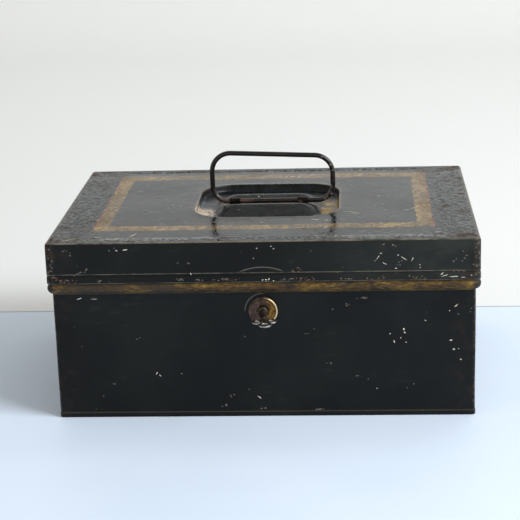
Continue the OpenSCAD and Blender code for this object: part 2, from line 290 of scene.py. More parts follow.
class Paint:
    """A material, its shader and short calls that add nodes to it. Places are in metres."""

    def __init__(self, name, **uniform):
        self.material = bpy.data.materials.new(name)
        self.material.use_nodes = True
        self.tree = self.material.node_tree
        self.tree.nodes.clear()
        self.shader = self.add("ShaderNodeBsdfPrincipled", uniform)
        surface = self.add("ShaderNodeOutputMaterial")
        self.tree.links.new(self.shader.outputs["BSDF"], surface.inputs["Surface"])
        self.place = self.add("ShaderNodeTexCoord").outputs["Object"]
        split = self.add("ShaderNodeSeparateXYZ", {"Vector": self.place})
        self.x, self.y, self.z = split.outputs
        self.colour = None

    def add(self, kind, inputs=None, **settings):
        made = self.tree.nodes.new(kind)
        for key, value in settings.items():
            setattr(made, key, value)
        for key, value in (inputs or {}).items():
            if isinstance(value, bpy.types.NodeSocket):
                self.tree.links.new(value, made.inputs[key])
            else:
                made.inputs[key].default_value = value
        return made

    def maths(self, operation, a, b=0.0):
        return self.add("ShaderNodeMath", {0: a, 1: b}, operation=operation).outputs[0]

    @property
    def far_x(self):
        """Distance from the middle plane, on either side."""
        return self.maths("ABSOLUTE", self.x)

    @property
    def far_y(self):
        return self.maths("ABSOLUTE", self.y)

    def plus(self, a, b):
        return self.maths("ADD", a, b)

    def less(self, a, b):
        return self.maths("SUBTRACT", a, b)

    def moved(self, scale, shift):
        """The place, scaled and shifted along every axis."""
        return self.add("ShaderNodeMapping", {
            "Vector": self.place, "Location": (shift,) * 3, "Scale": scale}).outputs[0]

    def noise(self, size, detail=4.0, rough=0.55, stretch=(1, 1, 1), warp=0.0, shift=0.0):
        """Noise from 0 to 1 whose features are about `size` mm, longer along an axis by `stretch`."""
        scale = tuple(1 / (size * MM * s) for s in stretch)
        return self.add("ShaderNodeTexNoise", {
            "Vector": self.moved(scale, shift), "Scale": 1.0, "Detail": detail, "Roughness": rough,
            "Distortion": warp,
        }).outputs["Fac"]

    def cells(self, size, shift=0.0):
        """Distance to the nearest of scattered points, in units of `size` mm."""
        place = self.moved((1 / (size * MM),) * 3, shift)
        return self.add("ShaderNodeTexVoronoi", {"Vector": place, "Scale": 1.0}).outputs["Distance"]

    def spread(self, value, low, high, to_low=0.0, to_high=1.0):
        """Smooth map of low..high to to_low..to_high, held flat outside."""
        return self.add("ShaderNodeMapRange", {
            "Value": value, "From Min": low, "From Max": high, "To Min": to_low, "To Max": to_high,
        }, interpolation_type="SMOOTHSTEP").outputs["Result"]

    def span(self, value, low, high, *ends):
        """spread, with low and high in mm."""
        return self.spread(value, low * MM, high * MM, *ends)

    def both(self, *masks):
        total = masks[0]
        for mask in masks[1:]:
            total = self.maths("MULTIPLY", total, mask)
        return total

    def either(self, *masks):
        total = masks[0]
        for mask in masks[1:]:
            total = self.maths("MAXIMUM", total, mask)
        return total

    def blend(self, fac, a, b):
        made = self.add("ShaderNodeMix", {"Factor": fac}, data_type="RGBA")
        for index, value in ((6, a), (7, b)):
            if isinstance(value, bpy.types.NodeSocket):
                self.tree.links.new(value, made.inputs[index])
            else:
                made.inputs[index].default_value = value
        return made.outputs[2]

    def coat(self, mask, colour, share=None):
        """Lays a colour over the material's own where mask is 1; share thins it everywhere."""
        if share is not None:
            mask = self.both(mask, share)
        self.colour = self.blend(mask, self.colour, colour)

    def ramp(self, fac, *colours):
        """Colours at places along fac: (place, colour) pairs."""
        made = self.add("ShaderNodeValToRGB", {"Fac": fac})
        steps = made.color_ramp.elements
        while len(steps) < len(colours):
            steps.new(0.5)
        for step, (place, colour) in zip(steps, colours):
            step.position = place
            step.color = colour
        return made.outputs["Color"]

    def bump(self, *layers):
        """Stacked bumps, each (height, depth in mm)."""
        normal = None
        for height, depth in layers:
            inputs = {"Height": height, "Strength": 1.0, "Distance": depth * MM}
            if normal:
                inputs["Normal"] = normal
            normal = self.add("ShaderNodeBump", inputs).outputs["Normal"]
        self.tree.links.new(normal, self.shader.inputs["Normal"])

    def finish(self, rough, metal=None):
        wanted = {"Base Color": self.colour, "Roughness": rough}
        if metal is not None:
            wanted["Metallic"] = metal
        for key, value in wanted.items():
            self.tree.links.new(value, self.shader.inputs[key])
        return self.material


BLACK = srgb(11, 13, 13)
BLACK_GREEN = srgb(20, 22, 21)
HAZE = srgb(52, 55, 50)
RUST_DARK = srgb(50, 33, 26)
CREAM = srgb(214, 206, 186)
BARE = srgb(150, 146, 134)


def specks(paint, size, amount, shift):
    """Mask of sparse paint flecks about `size` mm across."""
    near = paint.spread(paint.cells(size * 4, shift), 0.10 + amount, 0.14 + amount, 1.0, 0.0)
    sparse = paint.spread(paint.noise(size * 16, 1.0, shift=shift + 3), 0.63, 0.67)
    return paint.both(near, sparse)


def off(paint, value, place):
    """How far value (metres) is from a place (mm), on either side."""
    return paint.maths("ABSOLUTE", paint.less(value, place * MM))


def line_at(paint, value, place, half):
    """Mask of a thin line where value (metres) is at a place (mm)."""
    return paint.span(off(paint, value, place), half, half * 0.4)


def wall_paint(name, haze=0.0, shift=0.0, wear_and_highlight_lines=(), arcs=()):
    """Black japanning on upright sheet: dull, faintly smeared, brown where rubbed.

    wear lists creases and edges painted pale, as (height, half width, share): rubbed paint, and on some of
    them a painted highlight as well;
    arcs lists thin pale arcs on the front, as (centre x, centre z, radius, lowest z, highest x, share)."""
    paint = Paint(name, **{"Specular IOR Level": 0.16})
    cloud = paint.noise(60, 4.0, shift=shift)
    smear = paint.noise(4, 5.0, 0.6, stretch=(4, 4, 1), shift=shift)
    fine = paint.noise(1.6, 3.0, 0.6, shift=shift)
    far_x, far_y = paint.far_x, paint.far_y
    in_front = paint.span(paint.y, -100, -107)
    paint.colour = paint.blend(paint.spread(cloud, 0.35, 0.7), BLACK, BLACK_GREEN)
    paint.coat(paint.both(paint.spread(smear, 0.58, 0.74), paint.spread(cloud, 0.45, 0.6, 0.0, 0.3)), HAZE)
    if haze:
        right = paint.both(paint.span(paint.x, 10, 130), paint.span(paint.y, -90, -108))
        mottled = paint.spread(paint.noise(26, 5.0, 0.6, stretch=(2.2, 1, 1), shift=7), 0.33, 0.66, 0.25, 1.0)
        paint.coat(paint.both(right, mottled), HAZE, haze)
        lap = paint.both(line_at(paint, far_x, LID_X - LAP_W, 0.45), in_front)
        paint.coat(paint.both(lap, paint.spread(fine, 0.4, 0.66, 0.0, 0.45)), srgb(84, 76, 66))
    rubbed = paint.both(paint.span(far_x, 128, 152), paint.span(far_y, 86, 110),
                        paint.spread(paint.noise(9, 5.0, 0.65, shift=shift + 1), 0.5, 0.68, 0.0, 0.75))
    paint.coat(rubbed, RUST_DARK)
    arris = paint.both(paint.span(far_x, 148, 149.7), paint.span(far_y, 106, 107.7),
                       paint.spread(paint.noise(3, 5.0, 0.7, shift=9), 0.5, 0.62))
    paint.coat(arris, srgb(112, 100, 84), 0.75)
    # Pale lines along creases and edges: rubbed paint, and on some a painted highlight.
    for height, half, share in wear_and_highlight_lines:
        crease = line_at(paint, paint.z, height, half)
        patchy = paint.noise(7, 5.0, 0.7, stretch=(2, 2, 1), shift=height)
        broken = paint.spread(patchy, 0.36, 0.6, 0.15, share)
        paint.coat(paint.both(crease, broken), srgb(112, 106, 94))
    for mid_x, mid_z, radius, lowest, right_end, share in arcs:
        along = paint.less(paint.x, mid_x * MM)
        up = paint.less(paint.z, mid_z * MM)
        reach = paint.maths("SQRT", paint.plus(paint.both(along, along), paint.both(up, up)))
        seen = paint.both(line_at(paint, reach, radius, 0.5), paint.span(paint.z, lowest, lowest + 2),
                          paint.span(paint.x, right_end, right_end - 3), in_front)
        paint.coat(seen, srgb(104, 100, 92), share)
    worn = specks(paint, 1.1, 0.0, shift)
    paint.coat(worn, BARE, 0.4)
    rough = paint.spread(paint.either(rubbed, worn), 0.0, 1.0, 0.42, 0.7)
    rough = paint.plus(rough, paint.spread(smear, 0.4, 0.8, -0.05, 0.08))
    paint.bump((cloud, 0.5), (smear, 0.05), (fine, 0.03))
    return paint.finish(rough)


def bead_paint():
    """Gold lacquer on the rolled bead, rubbed to brown with pale streaks."""
    paint = Paint("bead_gold", **{"Specular IOR Level": 0.3})
    long = (5, 5, 1)
    streak = paint.noise(0.9, 6.0, 0.75, stretch=long)
    patch = paint.noise(11, 4.0, 0.6, stretch=(2.5, 2.5, 1), shift=2)
    paint.colour = paint.ramp(
        paint.plus(paint.both(streak, 0.6), paint.both(patch, 0.4)),
        (0.37, srgb(18, 15, 13)), (0.45, srgb(40, 28, 18)), (0.50, srgb(74, 52, 18)),
        (0.55, srgb(98, 74, 22)), (0.65, srgb(144, 120, 64)))
    left = paint.both(paint.span(paint.x, -30, -75), paint.span(paint.y, 0, -100))
    worn = paint.either(
        paint.both(left, paint.spread(patch, 0.34, 0.6, 0.95, 0.45)),
        paint.spread(paint.noise(5, 5.0, 0.7, stretch=(3, 3, 1), shift=5), 0.56, 0.66))
    paint.coat(worn, paint.blend(streak, srgb(22, 20, 18), srgb(66, 56, 42)))
    ends = paint.both(paint.span(paint.far_x, 147.5, 150), paint.span(paint.far_y, 103, 107))
    paint.coat(ends, srgb(20, 19, 19), 0.9)
    rough = paint.spread(streak, 0.3, 0.7, 0.66, 0.44)
    paint.bump((streak, 0.12), (paint.noise(1.2, 3.0), 0.04))
    return paint.finish(rough)


BORDER_SOFT = 0.25


def border_mask(paint, low, high, ragged):
    """How far inside a rectangle in X and Y a place is, its edge ragged by some mm, and a mask of it."""
    (x0, y0), (x1, y1) = low, high
    sides = [
        paint.less(paint.x, x0 * MM), paint.less(x1 * MM, paint.x),
        paint.less(paint.y, y0 * MM), paint.less(y1 * MM, paint.y),
    ]
    inside = sides[0]
    for side in sides[1:]:
        inside = paint.maths("MINIMUM", inside, side)
    wander = paint.both(paint.less(paint.noise(7, 4.0, shift=4), 0.5), 2 * ragged * MM)
    inside = paint.plus(inside, wander)
    return inside, paint.span(inside, -BORDER_SOFT, BORDER_SOFT)


BORDER_OUT = ((-123.5, -79), (122, 88.7))
BORDER_IN = ((-113, -67), (110.5, 74))


def past_dish(paint):
    """How far outside the dish's rounded outline a place is, in metres."""
    across = paint.less(paint.far_x, (DISH_X - DISH_R) * MM)
    deep = paint.less(off(paint, paint.y, DISH_MID), (DISH_Y - DISH_R) * MM)
    squares = [paint.maths("POWER", paint.maths("MAXIMUM", value, 0.0), 2.0) for value in (across, deep)]
    return paint.less(paint.maths("SQRT", paint.plus(*squares)), DISH_R * MM)


def lid_top_paint():
    """Glossy black japanning, wrinkled and pitted, with a worn gold border lined in red."""
    paint = Paint("lid_japan_gold_border", **{"IOR": 1.24})
    outer, in_outer = border_mask(paint, *BORDER_OUT, 1.3)
    _, in_inner = border_mask(paint, *BORDER_IN, 1.8)
    gold = paint.both(in_outer, paint.less(1.0, in_inner))
    red = paint.both(paint.span(outer, -1.2, -0.5), paint.span(outer, 1.2, 0.5))
    red = paint.both(red, paint.spread(paint.noise(10, 4.0, shift=8), 0.40, 0.55),
                     paint.span(paint.far_x, 118, 121))
    far_x, far_y = paint.far_x, paint.far_y
    edge = paint.either(paint.span(far_x, 108, 136), paint.span(far_y, 96, 107))
    corner = paint.both(paint.span(far_x, 118, 150), paint.span(far_y, 80, 106))

    cloud = paint.noise(40, 4.0)
    blotch = paint.noise(4.5, 5.0, 0.65, stretch=(1, 1.8, 1), warp=0.6)
    warm = paint.noise(22, 5.0, 0.6, stretch=(1.6, 1, 1), shift=15)
    paint.colour = paint.blend(paint.spread(cloud, 0.35, 0.65), srgb(8, 10, 10), srgb(22, 28, 28))
    paint.coat(paint.both(edge, paint.spread(blotch, 0.48, 0.62, 0.0, 0.45)), srgb(70, 75, 73))
    paint.coat(paint.spread(warm, 0.52, 0.66, 0.0, 0.6), srgb(50, 42, 32))
    gilt = paint.ramp(
        paint.plus(paint.both(blotch, 0.6), paint.both(cloud, 0.4)),
        (0.36, srgb(42, 38, 20)), (0.45, srgb(88, 68, 30)),
        (0.54, srgb(116, 90, 44)), (0.64, srgb(148, 122, 78)))
    rubbed_through = paint.spread(paint.noise(4, 6.0, 0.7, stretch=(2, 1, 1), shift=6), 0.56, 0.66, 0.0, 0.9)
    gold = paint.both(gold, paint.less(1.0, rubbed_through))
    paint.coat(gold, gilt)
    paint.coat(red, srgb(140, 74, 68), 0.7)

    in_corner = paint.spread(paint.noise(12, 5.0, 0.6, shift=9), 0.42, 0.6)
    on_edge = paint.spread(paint.noise(9, 5.0, 0.7, shift=11), 0.56, 0.66)
    rust = paint.either(paint.both(corner, in_corner), paint.both(paint.spread(edge, 0.55, 1.0), on_edge))
    paint.coat(rust, paint.blend(blotch, srgb(34, 26, 20), srgb(104, 80, 58)), 0.7)
    flecks = specks(paint, 1.2, 0.0, 1.0)
    paint.coat(flecks, CREAM, 0.8)
    # Painted highlight along the top's outer edges, where the paint is also rubbed pale.
    arris = paint.both(paint.either(paint.span(far_y, LID_Y - 2.6, LID_Y - 1.4),
                                    paint.span(far_x, LID_X - 2.6, LID_X - 1.4)),
                       paint.spread(paint.noise(6, 5.0, 0.7, shift=18), 0.40, 0.60, 0.1, 0.8))
    paint.coat(arris, srgb(132, 126, 114))
    # Round the dish's raised lip: a painted highlight, and rubbed paint, broken up along its length.
    lip_breaks = paint.noise(2.4, 5.0, 0.7, stretch=(3, 1, 1), shift=13)
    lip = paint.both(paint.span(past_dish(paint), 2.4, 1.4), paint.spread(lip_breaks, 0.38, 0.56, 0.1, 0.7))
    paint.coat(lip, srgb(118, 112, 100))

    dents = paint.spread(paint.noise(5, 5.0, 0.6, stretch=(1.5, 1.8, 1), warp=0.5, shift=16), 0.66, 0.60)
    rough = paint.either(paint.spread(gold, 0.0, 1.0, 0.06, 0.13), paint.both(rust, 0.55))
    rough = paint.plus(rough, paint.both(edge, paint.spread(blotch, 0.4, 0.7, 0.0, 0.2)))
    rough = paint.plus(rough, paint.spread(warm, 0.54, 0.66, 0.0, 0.16))
    pits = paint.spread(paint.noise(2.6, 4.0, 0.6, stretch=(1, 2.2, 1), warp=0.4, shift=12), 0.36, 0.54)
    pit_depth = paint.spread(edge, 0.0, 1.0, 0.02, 1.0)
    paint.bump((paint.noise(46, 1.0), 0.3), (dents, 0.2), (paint.both(pits, pit_depth), 1.5), (gold, 0.03))
    return paint.finish(rough)


def dish_paint():
    """The pressed dish: black along its length, gold and rusty where its ends have worn."""
    paint = Paint("dish_worn_gold", **{"IOR": 1.3})
    far_x = paint.far_x
    patch = paint.noise(8, 5.0, 0.6, warp=0.5)
    fine = paint.noise(2.2, 5.0, 0.65)
    black = paint.blend(paint.spread(patch, 0.4, 0.65), srgb(9, 11, 12), srgb(22, 26, 28))
    golden = paint.ramp(patch, (0.32, srgb(40, 28, 14)), (0.45, srgb(104, 78, 30)),
                        (0.55, srgb(148, 118, 52)), (0.68, srgb(92, 66, 36)))
    faded = paint.ramp(patch, (0.34, srgb(84, 58, 40)), (0.44, srgb(140, 118, 98)),
                       (0.56, srgb(196, 180, 160)), (0.66, srgb(108, 98, 84)))
    ragged = paint.both(paint.less(patch, 0.5), 30 * MM)
    height = paint.plus(paint.y, ragged)
    slate = paint.span(height, -6, 6)
    faded = paint.blend(slate, faded, srgb(58, 64, 72))
    worn = paint.blend(paint.span(paint.x, 0, 2), faded, golden)
    reach = paint.both(paint.span(paint.plus(far_x, ragged), 38, 46),
                       paint.span(height, 26, 14))
    paint.colour = paint.blend(paint.both(reach, paint.spread(fine, 0.26, 0.4)), black, worn)
    rim = paint.span(paint.z, LID_TOP - 0.2, LID_TOP + 0.15)
    below_rim = paint.both(line_at(paint, paint.z, LID_TOP - 1.2, 1.0), paint.span(far_x, 40, 46))
    paint.coat(below_rim, srgb(44, 30, 20), 0.75)
    # Pale along the dish's rim: a painted highlight, and rubbed paint.
    paint.coat(paint.both(rim, paint.spread(fine, 0.42, 0.56, 0.1, 0.75)), srgb(106, 98, 86))
    rough = paint.spread(fine, 0.3, 0.7, 0.2, 0.46)
    paint.bump((patch, 0.4), (fine, 0.1))
    return paint.finish(rough)


def saddle_paint():
    """Black japanning, pale along the two crests as rubbed paint and painted highlight, brown in the valley
    under the wire.
    """
    paint = Paint("saddle_japan", **{"IOR": 1.3})
    fine = paint.noise(2.0, 5.0, 0.65, stretch=(3, 1, 1))
    patch = paint.noise(14, 4.0, 0.6)
    crest = paint.span(paint.z, saddle_high.z - 0.3, saddle_high.z - 0.05)
    paint.colour = paint.blend(paint.spread(patch, 0.4, 0.65), srgb(8, 10, 10), srgb(18, 21, 22))
    valley = paint.span(off(paint, paint.y, DISH_MID), 12, 6)
    paint.coat(paint.both(valley, paint.spread(fine, 0.45, 0.6, 0.1, 0.8)), srgb(66, 48, 38))
    # Painted highlight along the tops of the two crests, where the paint is also rubbed pale.
    paint.coat(paint.both(crest, paint.spread(fine, 0.38, 0.56, 0.15, 0.8)), srgb(124, 122, 112))
    flecks = specks(paint, 0.9, 0.04, 5.0)
    paint.coat(flecks, CREAM)
    rough = paint.spread(fine, 0.3, 0.7, 0.22, 0.42)
    paint.bump((patch, 0.4), (fine, 0.06))
    return paint.finish(rough)


def inside_paint():
    """Thin dull black inside the box, with the tin's grain and bare scuffs showing."""
    paint = Paint("inside_japan", **{"Specular IOR Level": 0.35})
    cloud = paint.noise(45, 4.0, shift=3)
    scuff = paint.noise(3, 5.0, 0.7, stretch=(5, 5, 1), shift=4)
    paint.colour = paint.blend(paint.spread(cloud, 0.35, 0.65), srgb(26, 27, 27), srgb(52, 50, 46))
    paint.coat(paint.spread(scuff, 0.64, 0.74, 0.0, 0.6), srgb(116, 108, 96))
    rough = paint.spread(scuff, 0.4, 0.7, 0.5, 0.66)
    paint.bump((cloud, 0.3), (scuff, 0.06))
    return paint.finish(rough)


def tray_paint():
    """Satin black on the tray, scuffed grey by coins."""
    paint = Paint("tray_satin_black", **{"Specular IOR Level": 0.4})
    cloud = paint.noise(30, 4.0, shift=6)
    scratch = paint.noise(1.4, 5.0, 0.7, stretch=(8, 2, 8), warp=1.2, shift=7)
    paint.colour = paint.blend(paint.spread(cloud, 0.35, 0.65), srgb(24, 26, 27), srgb(46, 47, 46))
    paint.coat(paint.spread(scratch, 0.62, 0.72, 0.0, 0.7), srgb(122, 120, 112))
    rough = paint.spread(scratch, 0.4, 0.72, 0.4, 0.58)
    paint.bump((cloud, 0.25), (scratch, 0.05))
    return paint.finish(rough)


def metal_paint(name, dark, pale, stain, rough_low, rough_high, grain=(1, 1, 1), stained=0.58):
    """Bare metal with grain, cloudy tarnish and brown stains."""
    paint = Paint(name)
    cloud = paint.noise(5, 5.0, 0.6, shift=2)
    lines = paint.noise(0.8, 4.0, 0.6, stretch=grain, shift=3)
    tone = paint.plus(paint.both(cloud, 0.65), paint.both(lines, 0.35))
    paint.colour = paint.blend(paint.spread(tone, 0.38, 0.62), dark, pale)
    stain_mask = paint.spread(paint.noise(3.5, 6.0, 0.7, shift=5), stained, stained + 0.1)
    paint.coat(stain_mask, stain)
    rough = paint.plus(paint.spread(tone, 0.35, 0.65, rough_high, rough_low),
                        paint.both(stain_mask, 0.25))
    metal = paint.spread(stain_mask, 0.0, 1.0, 1.0, 0.2)
    paint.bump((lines, 0.03), (cloud, 0.06))
    return paint.finish(rough, metal)


def key_paint():
    """Dark patina on the key's flats; the bow's edges towards the front and the collar's rim are painted
    bright, as rubbed metal and as a painted highlight.
    """
    paint = Paint("key_dark_nickel")
    patch = paint.noise(2.2, 5.0, 0.65)
    fine = paint.noise(0.6, 4.0, 0.6)
    paint.colour = paint.blend(paint.spread(patch, 0.38, 0.62), srgb(40, 34, 30), srgb(76, 66, 58))
    level = off(paint, paint.z, KEYHOLE.z)
    bow_edge = paint.both(paint.span(level, 0.7, 0.4), paint.span(paint.y, -127, -131))
    collar = paint.both(line_at(paint, paint.y, -WALL_Y - 3.6, 0.9), paint.span(level, 2.9, 3.3))
    # Painted highlight along the bow's front edges and the collar's rim, where the metal is also rubbed
    # bright.
    polish_and_highlight = paint.both(paint.either(bow_edge, collar), paint.spread(fine, 0.3, 0.55, 0.35, 1.0))
    paint.coat(polish_and_highlight, srgb(158, 154, 146))
    rough = paint.spread(polish_and_highlight, 0.0, 1.0, 0.5, 0.26)
    paint.bump((patch, 0.06), (fine, 0.03))
    return paint.finish(rough, paint.spread(patch, 0.3, 0.7, 0.75, 0.95))


def brass_paint():
    """Brass plate: brown on the left half, golden on the right half, with a painted highlight along its rim
    on the right.
    """
    paint = Paint("old_brass_plate")
    patch = paint.noise(2.6, 5.0, 0.65, warp=0.4)
    fine = paint.noise(0.7, 4.0, 0.6)
    ragged = paint.both(paint.less(patch, 0.5), 12 * MM)
    right_side = paint.span(paint.plus(paint.x, ragged), 0.5, 6.5)
    brown = paint.blend(paint.spread(patch, 0.38, 0.64), srgb(46, 33, 26), srgb(84, 62, 50))
    golden = paint.blend(paint.spread(patch, 0.36, 0.62), srgb(82, 58, 26), srgb(132, 98, 46))
    paint.colour = paint.blend(right_side, brown, golden)
    # Painted highlight: a pale cream band along the rim's front crest, on the right half only.
    rim = paint.span(paint.y, plate_low.y + 0.5, plate_low.y + 0.12)
    paint.coat(paint.both(rim, right_side, paint.spread(fine, 0.3, 0.6, 0.5, 1.0)), srgb(232, 212, 172))
    rough = paint.spread(fine, 0.3, 0.7, 0.36, 0.56)
    metal = paint.spread(right_side, 0.0, 1.0, 0.45, 0.9)
    paint.bump((patch, 0.12), (fine, 0.04))
    return paint.finish(rough, metal)


def wire_paint():
    """Black enamel on the wire, gone brown and rubbed through where hands and clips touch; pale flecks on its
    right end are chipped enamel and painted glints.
    """
    paint = Paint("handle_black_wire", **{"IOR": 1.45})
    patch = paint.noise(10, 5.0, 0.6, warp=0.5)
    fine = paint.noise(1.1, 5.0, 0.7)
    paint.colour = paint.blend(paint.spread(patch, 0.42, 0.62), srgb(8, 8, 9), srgb(18, 15, 15))
    rust = paint.both(paint.spread(paint.noise(16, 4.0, shift=3), 0.45, 0.6), paint.spread(fine, 0.42, 0.62))
    low_bar = paint.span(paint.z, PIVOT.z + 6, PIVOT.z + 1)
    left = paint.both(low_bar, paint.span(paint.x, -6, -20))
    rust = paint.either(paint.both(rust, 0.3), paint.both(left, paint.spread(fine, 0.35, 0.55)))
    paint.coat(rust, srgb(72, 50, 40))
    right = paint.span(paint.x, 36, 46)
    # Pale flecks on the wire's right end: painted glints, and chipped enamel.
    chips_and_glints = paint.both(right, paint.spread(paint.noise(2.4, 5.0, 0.7, shift=6), 0.54, 0.62))
    paint.coat(chips_and_glints, srgb(150, 134, 124), 0.7)
    rough = paint.spread(paint.either(rust, chips_and_glints), 0.0, 1.0, 0.2, 0.6)
    paint.bump((patch, 0.12), (fine, 0.05))
    return paint.finish(rough)


def chip_paint(name, pale, dark):
    """Bare patch where the paint has come away."""
    paint = Paint(name, **{"Specular IOR Level": 0.4})
    fine = paint.noise(1.0, 4.0, 0.7, shift=2)
    rough = paint.spread(fine, 0.3, 0.7, 0.45, 0.7)
    paint.colour = paint.blend(paint.spread(fine, 0.38, 0.6), dark, pale)
    paint.bump((fine, 0.05))
    return paint.finish(rough)


BODY_PAINT = wall_paint("body_black_japan", wear_and_highlight_lines=[(HEM_Z, 0.5, 0.2), (BEAD_Z - BEAD_R - 0.6, 0.5, 0.2)],
                        arcs=[(KEYHOLE.x, KEYHOLE.z, 12.8, KEYHOLE.z - 1, 2, 0.6)])
# On the lid, the pale lines at the swage crease and the top edge are painted highlights as well as rubbed
# paint.
LID_PAINT = wall_paint("lid_black_japan", haze=0.9, shift=5.0, arcs=[(0, 75, 38, 109, 16, 0.75)], wear_and_highlight_lines=[
    (SWAGE_Z + 1.0, 0.45, 0.75), (LID_TOP - 0.3, 0.6, 0.85), (lid_low.z + 0.3, 0.5, 0.6)])
BEAD_PAINT = bead_paint()
TOP_PAINT = lid_top_paint()
DISH_PAINT = dish_paint()
SADDLE_PAINT = saddle_paint()
INSIDE_PAINT = inside_paint()
TRAY_PAINT = tray_paint()
WIRE_PAINT = wire_paint()
BRASS_PLATE = brass_paint()
LOCK_BRASS = metal_paint("old_brass_lever", srgb(120, 92, 44), srgb(176, 140, 76), srgb(84, 60, 36), 0.3, 0.5)
KEY_STEEL = key_paint()
TIN = metal_paint("dull_tin_plate", srgb(128, 126, 118), srgb(176, 172, 162), srgb(104, 84, 62), 0.36, 0.55,
                  grain=(1, 8, 8), stained=0.62)
STEEL = metal_paint("dull_steel", srgb(98, 96, 92), srgb(146, 143, 138), srgb(86, 58, 40), 0.34, 0.52)
STRAP = metal_paint("strap_rusty_black", srgb(20, 18, 17), srgb(40, 33, 30), srgb(66, 46, 37), 0.45, 0.62,
                    stained=0.56)
CREAM_CHIP = chip_paint("chip_cream", srgb(226, 220, 204), srgb(168, 156, 132))
GREY_CHIP = chip_paint("chip_grey", srgb(120, 112, 98), srgb(62, 58, 50))
RUST_CHIP = chip_paint("chip_rust", srgb(112, 80, 64), srgb(60, 42, 36))

CAD_MATERIALS = {
    BODY_PAINT: ["base_pan", "back_seam", "tray_rest_left", "tray_rest_right",
                 "hinge_leaf_case_left", "hinge_leaf_case_right",
                 "hinge_leaf_lid_left", "hinge_leaf_lid_right", "hinge_rivets_case", "hinge_rivets_lid"],
    TRAY_PAINT: ["tray_pan", "tray_long_divider", "tray_cup_divider_left", "tray_cup_divider_middle",
                 "tray_cup_divider_right", "tray_note_divider"],
    STRAP: ["handle_clips"],
    LOCK_BRASS: ["lock_lever"],
    TIN: ["lock_case", "catch_bracket", "tray_tab_left", "tray_tab_right"],
    STEEL: ["lock_post", "lock_stump", "lever_spring", "lock_bolt", "lid_catch", "catch_rivets",
            "hinge_pin_left", "hinge_pin_right"],
}
for material, names in CAD_MATERIALS.items():
    for name in names:
        mesh = frame["nodes"][name].data
        mesh.materials.clear()
        mesh.materials.append(material)

# -------------------------------------------------------------------- body


def wall_dent(x, y, z):
    """Outward lean of the body's wall, zero at the hem and the bead."""
    free = smooth_step(z, HEM_Z, WALL_FREE[0]) * smooth_step(z, BEAD_Z - BEAD_R, WALL_FREE[1])
    return ripple((x, y, z), 55, 0.45) * free


def body_rows():
    """The wall's section: (height, how far out, band, share that stays at the hinges)."""
    rows = [(0.0, 0.1), (0.35, 0.32), (1.75, HEM_OUT), (3.1, 0.32), (HEM_Z, 0.04)]
    rows = [(z, out, 0, 1) for z, out in rows]
    foot = BEAD_Z - BEAD_R
    rows += [(HEM_Z + 0.7 + (foot - HEM_Z - 1.4) * i / 11, 0.0, 0, 1) for i in range(12)]
    rows.append((foot - 0.1, 0.12, 1, 0))
    for i in range(12):
        turn = radians(-78 + 128 * i / 11)
        rows.append((BEAD_Z + BEAD_R * sin(turn), BEAD_R * cos(turn), 1, 0))
    rows += [(LEDGE_Z - 0.3, LEDGE_OUT - 0.03, 1, 0), (LEDGE_Z, LEDGE_OUT - 0.3, 0, 0),
             (LEDGE_Z, 0.5, 0, 0), (LEDGE_Z + 0.3, 0.0, 0, 1)]
    rows += [(LEDGE_Z + 4, 0.0, 0, 1), (body_high.z - 0.5, 0.0, 0, 1), (body_high.z, -0.2, 0, 1)]
    return rows


def build_body():
    fade = 1.2
    inner, outer = HINGE_X - HINGE_GAP, HINGE_X + HINGE_GAP
    gap_marks = [inner - fade, inner, outer, outer + fade]
    columns = rounded(WALL_X, WALL_Y, WALL_R, gap_marks)
    rings, gaps = [], []
    for z, out, band, kept in body_rows():
        ring = []
        for spot, outward in columns:
            lean = out
            if not kept and spot.y > WALL_Y - 0.1:
                lean *= smooth_step(abs(abs(spot.x) - HINGE_X), HINGE_GAP, HINGE_GAP + fade)
            if band == 1 and lean > 1:
                lean -= 0.1 + ripple((spot.x, spot.y, z * 3), 14, 0.1)
            lean += wall_dent(spot.x, spot.y, z)
            edge = spot + outward * lean
            ring.append((edge.x, edge.y, z))
        rings.append(ring)
        gaps.append(band)
    points, faces, bands = loft(rings, gaps[1:])
    piece = mesh_piece("body_skin", "case", "black_japan", points, faces,
                       [BODY_PAINT, BEAD_PAINT, INSIDE_PAINT], bands)
    solidify(piece, SHEET, 2)
    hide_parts("body_shell")


# --------------------------------------------------------------------- lid


def lid_rows():
    """The lid wall's section: (height, how far out, share that follows the band)."""
    low = lid_low.z
    rows = [(low, 0.3, 1), (low + 0.3, BAND_OUT, 1), (low + 4.4, BAND_OUT, 1), (low + 5.0, 0.3, 1),
            (SWAGE_Z - 0.4, -0.2, 0), (SWAGE_Z, -0.4, 0), (SWAGE_Z + 0.4, -0.2, 0), (SWAGE_Z + 0.9, 0.1, 0),
            (SWAGE_Z + 1.6, 0.0, 0)]
    rows += [(SWAGE_Z + 4 + (LID_TOP - EDGE_R - SWAGE_Z - 5) * i / 4, 0.0, 0) for i in range(5)]
    for i in range(5):
        turn = radians(90 * i / 4)
        rows.append((LID_TOP - EDGE_R + EDGE_R * sin(turn), EDGE_R * (cos(turn) - 1), 0))
    return rows


def front_lap(spot):
    """Thickness of the side's ear, folded round the corner and lapped over the front."""
    ear = -LID_Y + 14
    if spot.y > ear:
        return 0.0
    inward = LID_X - abs(spot.x)
    over = smooth_step(inward, LAP_W + 0.15, LAP_W - 0.15)
    return 0.32 * over * smooth_step(spot.y, ear, -LID_Y + 4)


def top_warp(x, y, fade):
    return ripple((x, y, 0), 48, 0.3, 3) * fade + ripple((x, y, 0), 17, 0.03, 5) * fade


